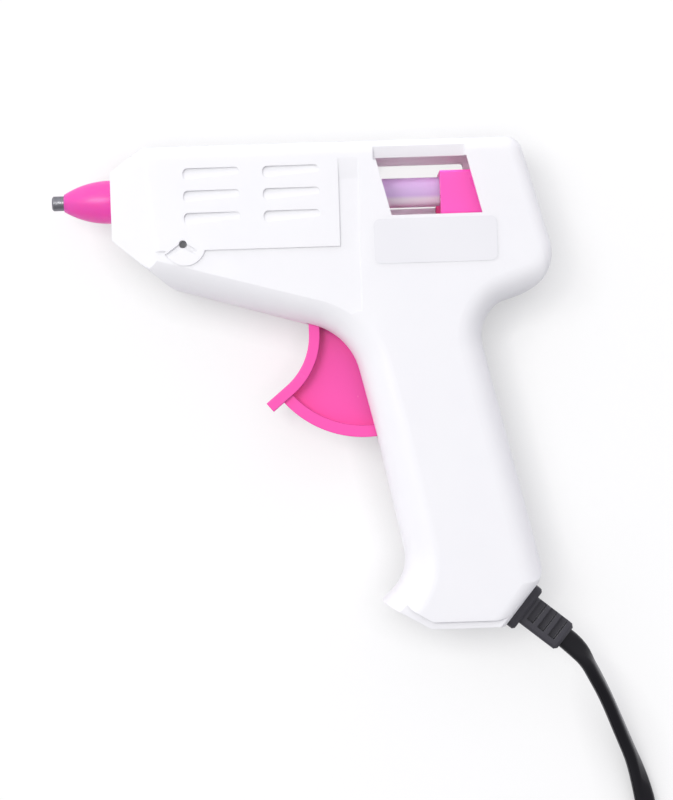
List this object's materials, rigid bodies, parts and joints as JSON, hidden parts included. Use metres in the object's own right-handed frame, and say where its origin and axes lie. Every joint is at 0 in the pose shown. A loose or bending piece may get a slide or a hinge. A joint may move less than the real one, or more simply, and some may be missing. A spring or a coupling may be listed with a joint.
{
  "type": "hot glue gun",
  "caption": "Small hot glue gun with a pistol grip, a swinging trigger that drives a feed carriage seen through side windows, a covered nozzle and a flat power cord with a plug.",
  "frame": {"origin": "middle of the underside of the gun as it lies on its right side, without the free cord, coil and plug", "axes": "+X from the nozzle to the rear of the barrel, +Y from the grip to the top of the barrel, +Z out of the left side, upwards"},
  "size_m": [0.1465, 0.2571, 0.0261],
  "materials": {
    "housing_white": "moulded ABS, glossy",
    "label_white": "bare printed-film label",
    "steel": "zinc-plated",
    "nozzle_metal": "turned, nickel-plated",
    "cover_pink": "silicone, satin",
    "aluminium": "die-cast",
    "ceramic": "fired ceramic",
    "contact_brass": "stamped sheet",
    "film_amber": "polyimide film",
    "silicone_white": "silicone",
    "glue_clear": "translucent hot-melt glue",
    "carriage_pink": "moulded",
    "jaw_pink": "soft moulding",
    "trigger_pink": "moulded",
    "wire_brown": "insulation",
    "wire_blue": "insulation",
    "cord_black": "flexible jacket, glossy",
    "relief_black": "flexible moulding",
    "plug_black": "moulded on",
    "pin_nickel": "nickel-plated"
  },
  "bodies": {
    "housing": {"left_housing": "housing_white", "right_housing": "housing_white", "rating_label": "label_white", "housing_screws": "steel", "nozzle_tip": "nozzle_metal", "nozzle_cover": "cover_pink", "melt_chamber": "aluminium", "ptc_heater": "ceramic", "heater_electrodes": "contact_brass", "insulation_film": "film_amber", "heater_wedge": "aluminium", "inlet_sleeve": "silicone_white", "sleeve_clamp": "steel", "return_spring": "steel", "live_wire": "wire_brown", "neutral_wire": "wire_blue", "crimp_sleeves": "contact_brass", "cord_tail": "cord_black", "cord_clamp": "housing_white", "clamp_screws": "steel", "strain_relief": "relief_black", "power_cord": "cord_black", "cord_coil": "cord_black", "plug_body": "plug_black", "plug_pins": "pin_nickel"},
    "trigger": {"trigger": "trigger_pink"},
    "carriage": {"feed_carriage": "carriage_pink", "grip_jaw": "jaw_pink"},
    "stick": {"glue_stick": "glue_clear"}
  },
  "joints": [
    {"name": "trigger_pull", "type": "hinge", "parent": "housing", "child": "trigger", "pos_m": [0.01296, 0.01679, 0.013], "axis": [0, 0, 1], "range_deg": [0, 24.46], "stiffness_Nm_per_rad": 0.06, "springref_deg": -17.19, "deforming": ["return_spring"]},
    {"name": "carriage_slide", "type": "slide", "parent": "housing", "child": "carriage", "axis": [-1, 0, 0], "range_m": [0, 0.01]},
    {"name": "stick_feed", "type": "slide", "parent": "housing", "child": "stick", "axis": [-1, 0, 0], "range_m": [-0.082, 0.007]}
  ],
  "couplings": [
    {"joint": "carriage_slide", "follows": "trigger_pull", "m_per_rad": 0.0234}
  ]
}
